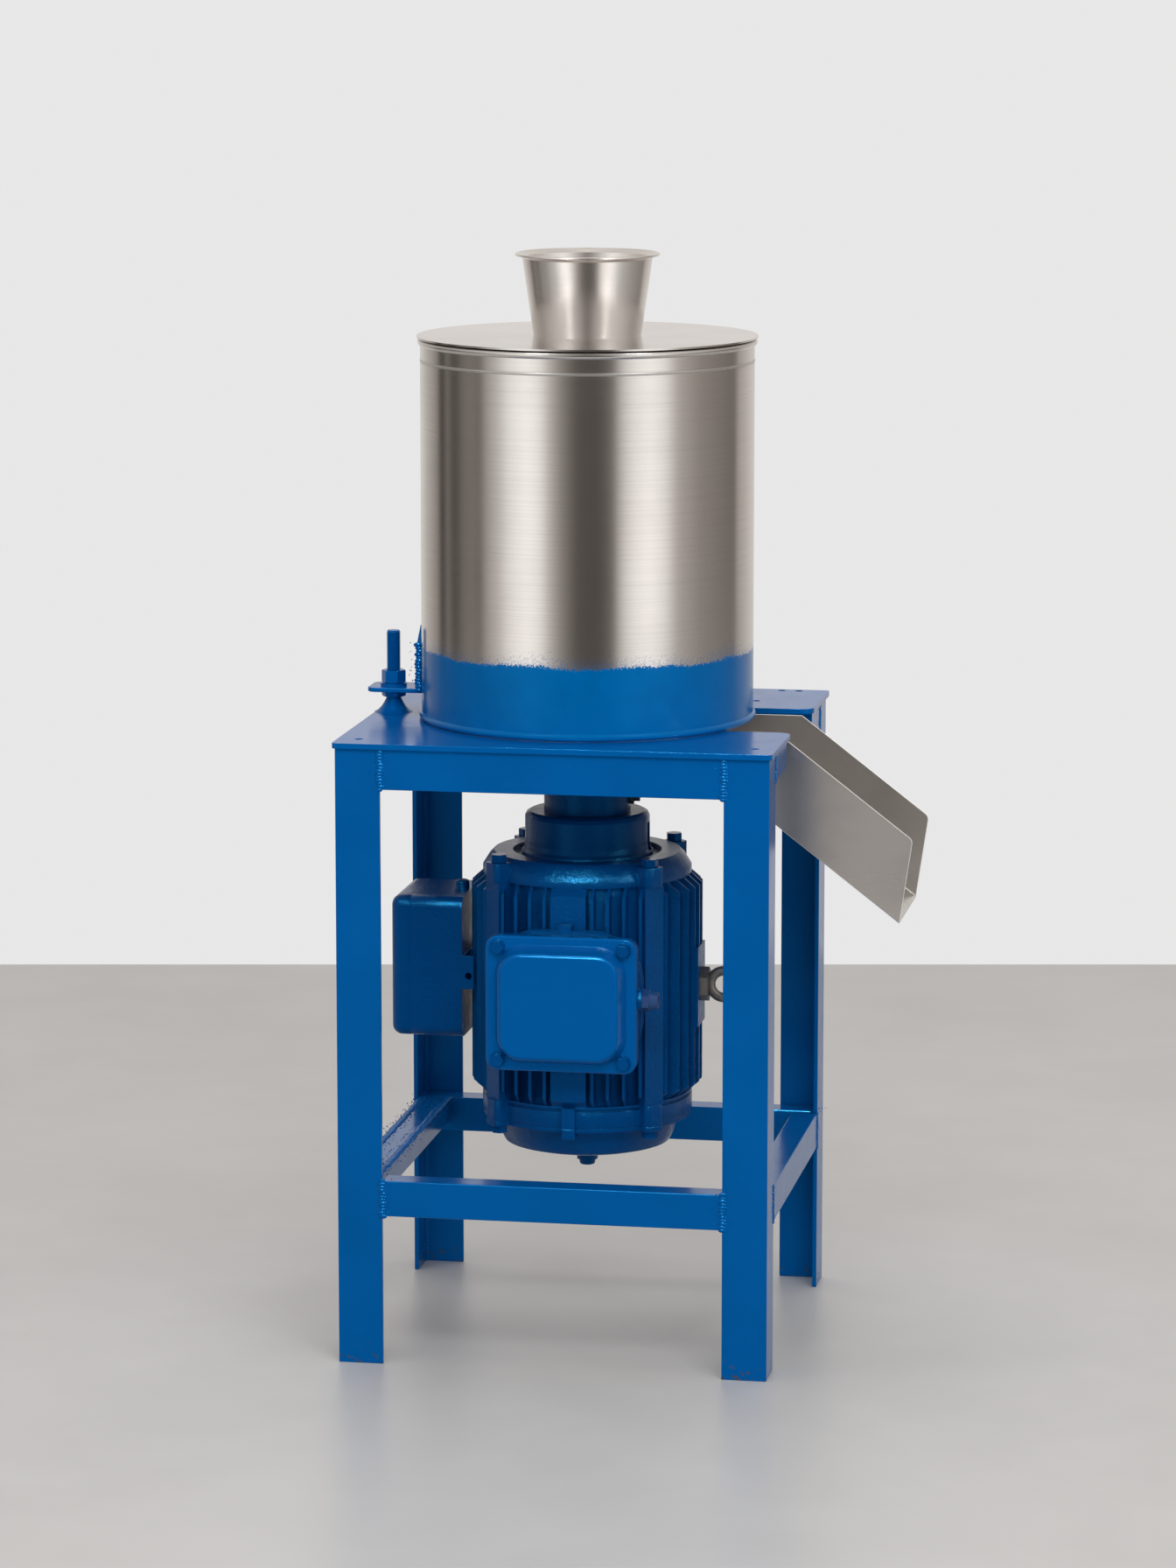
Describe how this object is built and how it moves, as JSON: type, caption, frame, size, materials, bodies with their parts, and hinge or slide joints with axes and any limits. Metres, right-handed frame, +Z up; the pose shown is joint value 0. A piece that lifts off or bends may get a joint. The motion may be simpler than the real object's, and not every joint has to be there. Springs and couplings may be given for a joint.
{
  "type": "peanut butter grinding machine",
  "caption": "Tall round stainless nut hopper on a square blue angle-iron stand, with a motor hung underneath and a sloping side chute for the ground paste.",
  "frame": {"origin": "on the floor, under the shaft, at the middle of the stand", "axes": "+Z up along the shaft, +X towards the chute, -Y towards the terminal box"},
  "size_m": [0.6258, 0.478, 1.2191],
  "materials": {
    "blue_paint": "gloss",
    "painted_casting": "satin",
    "painted_fastener": "satin",
    "drum_sheet": "brushed, with a blue painted foot",
    "stainless_sheet": "brushed",
    "plated_fastener": "zinc plated",
    "bare_stud": "bare thread with a painted weld",
    "bare_casting": "bare forged",
    "dark_plastic": "matt",
    "dark_steel": "dark",
    "seal_rubber": "matt",
    "grinding_stone": "coarse",
    "ground_steel": "ground",
    "copper_wire": "varnished copper",
    "capacitor_can": "satin"
  },
  "bodies": {
    "stand": {"adjuster_stud": "bare_stud", "bearing_housing": "painted_casting", "cable_gland": "dark_plastic", "capacitor_box": "painted_casting", "capacitor_lid": "painted_casting", "capacitor_strap": "painted_casting", "capacitors": "capacitor_can", "chute": "stainless_sheet", "cover_bolts": "painted_fastener", "drain_plug": "painted_casting", "drum_locator": "stainless_sheet", "grease_nipple": "dark_steel", "housing_bearings": "ground_steel", "housing_bolts": "plated_fastener", "leg_front_left": "blue_paint", "leg_front_right": "blue_paint", "leg_rear_left": "blue_paint", "leg_rear_right": "blue_paint", "lifting_eye": "bare_casting", "lower_rail_front": "blue_paint", "lower_rail_left": "blue_paint", "lower_rail_rear": "blue_paint", "lower_rail_right": "blue_paint", "motor_adaptor": "painted_casting", "motor_bearings": "ground_steel", "motor_bolts": "painted_fastener", "motor_end_cap": "painted_casting", "motor_end_shield_bottom": "painted_casting", "motor_end_shield_top": "painted_casting", "motor_frame": "painted_casting", "shaft_seal": "seal_rubber", "stator_core": "ground_steel", "terminal_block": "dark_plastic", "terminal_box": "painted_casting", "terminal_cover": "painted_casting", "top_plate": "blue_paint", "top_rail_front": "blue_paint", "top_rail_left": "blue_paint", "top_rail_rear": "blue_paint", "top_rail_right": "blue_paint", "windings": "copper_wire"},
    "shaft": {"spindle": "ground_steel", "motor_shaft": "ground_steel", "shaft_coupling": "ground_steel", "rotor": "ground_steel", "stone_carrier": "stainless_sheet", "lower_stone": "grinding_stone", "scraper": "stainless_sheet", "feed_nut": "stainless_sheet"},
    "drum": {"drum_shell": "drum_sheet", "hopper_funnel": "stainless_sheet", "stone_holder": "stainless_sheet", "upper_stone": "grinding_stone", "adjuster_bracket": "blue_paint", "adjuster_washer": "plated_fastener"},
    "nuts": {"adjusting_nut": "plated_fastener", "jam_nut": "plated_fastener"},
    "lid": {"drum_lid": "stainless_sheet", "feed_cup": "stainless_sheet"}
  },
  "joints": [
    {"name": "shaft_spin", "type": "hinge", "parent": "stand", "child": "shaft", "pos_m": [0, 0, 0.7], "axis": [0, 0, 1], "continuous": true},
    {"name": "drum_lift", "type": "slide", "parent": "stand", "child": "drum", "axis": [0, 0, 1], "range_m": [0, 0.006]},
    {"name": "nut_turn", "type": "hinge", "parent": "drum", "child": "nuts", "pos_m": [-0.2225, 0, 0.735], "axis": [0, 0, 1], "range_deg": [0, 1080]},
    {"name": "lid_lift", "type": "slide", "parent": "drum", "child": "lid", "axis": [0, 0, 1], "range_m": [0, 0.3]}
  ],
  "couplings": [
    {"joint": "nut_turn", "follows": "drum_lift", "rad_per_m": 3141.6}
  ]
}
